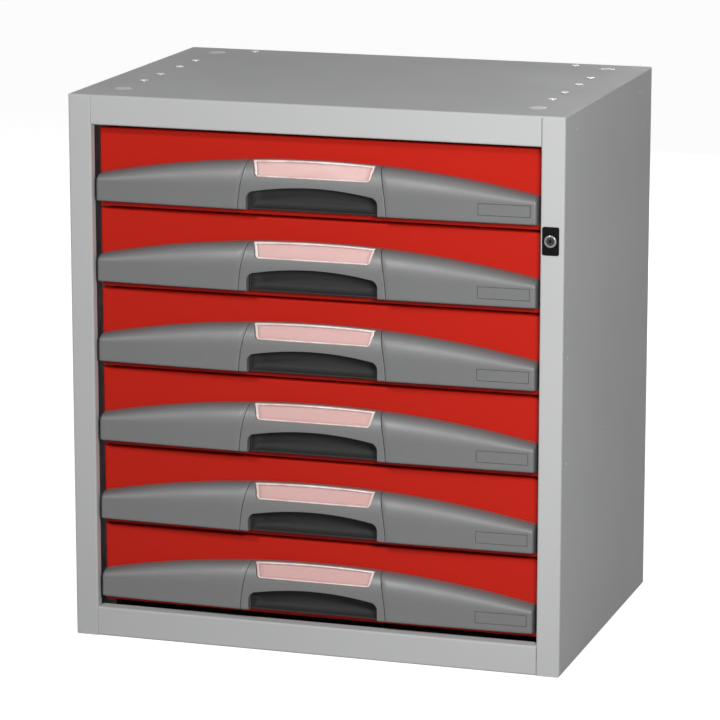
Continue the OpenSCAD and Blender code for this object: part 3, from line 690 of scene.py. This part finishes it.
def add_block(bm, size, centre):
    """A box of that size round a centre."""
    made = bmesh.ops.create_cube(bm, size=1.0)["verts"]
    bmesh.ops.scale(bm, vec=size, verts=made)
    bmesh.ops.translate(bm, vec=centre, verts=made)


def add_lock_face():
    """The black face plate with rounded corners, and the housing behind it."""
    low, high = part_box("lock_case")
    centre = (low + high) / 2
    bm = bmesh.new()
    add_block(bm, (high.x - low.x, PLATE_T, high.z - low.z), (centre.x, low.y + PLATE_T / 2, centre.z))
    along = [e for e in bm.edges if abs((e.verts[0].co - e.verts[1].co).y) > PLATE_T / 2]
    round_off(bm, along, PLATE_CORNER, 5)
    rim = [e for e in bm.edges if all(v.co.y < low.y + PLATE_T / 2 for v in e.verts)]
    round_off(bm, rim, PLATE_ROUND, 3)
    depth = high.y - low.y - HOUSING_START
    add_block(bm, (HOUSING_W, depth, HOUSING_H), (centre.x, high.y - depth / 2, centre.z))
    piece("lock_plate", bm, [BLACK], "cabinet", ["lock_case"])


def add_barrel_face():
    """The barrel's rim and its slotted plug, set just in front of the barrel."""
    barrel_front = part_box("lock_barrel")[0].y
    low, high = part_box("lock_case")
    centre = Vector(((low.x + high.x) / 2, barrel_front, (low.z + high.z) / 2))
    bm = bmesh.new()
    turned(bm, [(r * MM, out * MM) for r, out in RIM_PROFILE], centre, (0, -1, 0))
    close_up(bm)
    piece("lock_rim", bm, [CHROME], "lock_barrel")

    def place(i, j):
        """Squeezes the square grid into a disc, with a rounded edge and the keyway sunk in."""
        u, v = PLUG_MARKS[i], PLUG_MARKS[j]
        edge = max(abs(u), abs(v))
        rise = PLUG_RISE
        if edge >= PLUG_EDGE:
            rise *= max(0.0, 1 - (edge - PLUG_EDGE) / (1 - PLUG_EDGE)) ** 0.5
        if abs(u) < KEYWAY_SIDE and abs(v) < KEYWAY_END:
            rise -= KEYWAY_DEPTH
        x = u * math.sqrt(1 - v * v / 2) * PLUG_R
        z = v * math.sqrt(1 - u * u / 2) * PLUG_R
        return centre + Vector((x, -rise, z))

    bm = bmesh.new()
    sheet(bm, len(PLUG_MARKS), len(PLUG_MARKS), place)
    face_front(bm)
    thickened(piece("lock_plug", bm, [DARK_METAL], "lock_barrel"), PLUG_WALL)


add_lock_face()
add_barrel_face()


# ---------- roof plugs ----------

# The plug's domed head and its stem, as (radius, height) over the roof in millimetres.
HEAD_R = 11.0
PLUG_PROFILE = ((0.0, 0.9), (4.0, 0.88), (7.5, 0.8), (9.6, 0.62), (10.6, 0.36), (HEAD_R, 0.0), (8.8, -0.05),
                (8.7, -3.4), (0.0, -3.4))


def add_roof_plugs():
    """Four domed plugs, one near each corner of the roof."""
    low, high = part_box("top_plugs")
    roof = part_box("top_panel")[1].z
    dome = [(r * MM, h * MM) for r, h in PLUG_PROFILE]
    inset = HEAD_R * MM
    bm = bmesh.new()
    for x in (low.x + inset, high.x - inset):
        for y in (low.y + inset, high.y - inset):
            part = bmesh.new()
            turned(part, dome, (x, y, roof), (0, 0, 1))
            mesh = bpy.data.meshes.new("plug")
            part.to_mesh(mesh)
            part.free()
            bm.from_mesh(mesh)
            bpy.data.meshes.remove(mesh)
    piece("roof_plugs", bm, [PALE], "cabinet", ["top_plugs"])


add_roof_plugs()


# ---------- finishes of the steel frame ----------

FINISHES = {"left_side": PAINT, "right_side": PAINT, "top_panel": PAINT, "bottom_panel": PAINT,
            "back_panel": PAINT, "slide_posts": POST, "outer_slides": SLIDE, "lock_case": BLACK,
            "lock_barrel": CHROME, "lock_bar": POST, "top_plugs": PALE, "threaded_inserts": ZINC}
DRAWER_FINISHES = {"tray": TRAY_PAINT, "front": RED, "handle_wings": GREY, "handle_bridge": GREY,
                   "finger_cup": SCOOP_GREY_AND_SHADE, "label_window": WINDOW, "inner_slides": SLIDE,
                   "middle_slides": SLIDE}
for number in DRAWERS:
    FINISHES.update({f"drawer_{number}_{part}": material for part, material in DRAWER_FINISHES.items()})
for name, material in FINISHES.items():
    nodes[name].data.materials.clear()
    nodes[name].data.materials.append(material)


# ---------- studio ----------

FLOOR_HALF, FLOOR_GREY, FLOOR_GLOW, WORLD_FILL = 15.0, (0.34, 0.35, 0.36), 0.92, 0.05
AIM_MIDDLE, AIM_RIGHT = (0.0, 0.0, 0.35), (0.25, 0.0, 0.25)
# Each softbox: its name, place, aim, width, height and watts.
SOFTBOXES = (("key", (-0.95, -3.1, 2.6), AIM_MIDDLE, 0.4, 0.4, 47.0),
             ("near", (0.9, -1.6, 1.0), AIM_RIGHT, 0.35, 0.35, 19.0),
             ("back", (0.4, 3.4, 1.1), AIM_MIDDLE, 1.8, 1.2, 60.0))


def shown_rays(tree):
    """1 for rays that show a surface to the eye: straight, mirrored or through glass."""
    path = tree.nodes.new("ShaderNodeLightPath")
    first = tree.nodes.new("ShaderNodeMath")
    first.operation = "ADD"
    tree.links.new(path.outputs["Is Camera Ray"], first.inputs[0])
    tree.links.new(path.outputs["Is Glossy Ray"], first.inputs[1])
    second = tree.nodes.new("ShaderNodeMath")
    second.operation = "ADD"
    second.use_clamp = True
    tree.links.new(first.outputs["Value"], second.inputs[0])
    tree.links.new(path.outputs["Is Transmission Ray"], second.inputs[1])
    return second.outputs["Value"]


def add_floor():
    """A grey floor that keeps the shadow and shows white."""
    bm = bmesh.new()
    bmesh.ops.create_grid(bm, x_segments=8, y_segments=8, size=FLOOR_HALF)
    mesh = bpy.data.meshes.new("floor")
    bm.to_mesh(mesh)
    bm.free()
    floor = bpy.data.objects.new("floor", mesh)
    scene.collection.objects.link(floor)
    dark, grey, light = ((level,) * 3 for level in FLOOR_GREY)
    material, tree, shader = shader_of("floor", grey, 0.9, specular=0.1)
    vary_colour(tree, shader, noise_on(tree, 1.5), dark, light)
    shader.inputs["Emission Color"].default_value = (1.0, 1.0, 1.0, 1.0)
    glow = spread(tree, shown_rays(tree), 0.0, FLOOR_GLOW, 0.0, 1.0)
    tree.links.new(glow, shader.inputs["Emission Strength"])
    mesh.materials.append(material)


def add_world():
    """White to the eye, and a faint fill for the shading."""
    world = bpy.data.worlds.new("studio")
    world.use_nodes = True
    tree = world.node_tree
    background = tree.nodes["Background"]
    background.inputs["Color"].default_value = (1.0, 1.0, 1.0, 1.0)
    glow = spread(tree, shown_rays(tree), WORLD_FILL, 1.0, 0.0, 1.0)
    tree.links.new(glow, background.inputs["Strength"])
    scene.world = world


def add_softbox(name, place, target, width, height, watts):
    """A rectangular area light that faces its target and isn't seen itself."""
    lamp = bpy.data.lights.new(name, "AREA")
    lamp.shape = "RECTANGLE"
    lamp.size, lamp.size_y = width, height
    lamp.energy = watts
    softbox = bpy.data.objects.new(name, lamp)
    scene.collection.objects.link(softbox)
    softbox.location = place
    softbox.rotation_euler = (Vector(target) - Vector(place)).to_track_quat("-Z", "Y").to_euler()
    softbox.visible_camera = False


add_floor()
add_world()
for softbox in SOFTBOXES:
    add_softbox(*softbox)
place_camera()
scene.view_settings.view_transform = "Standard"
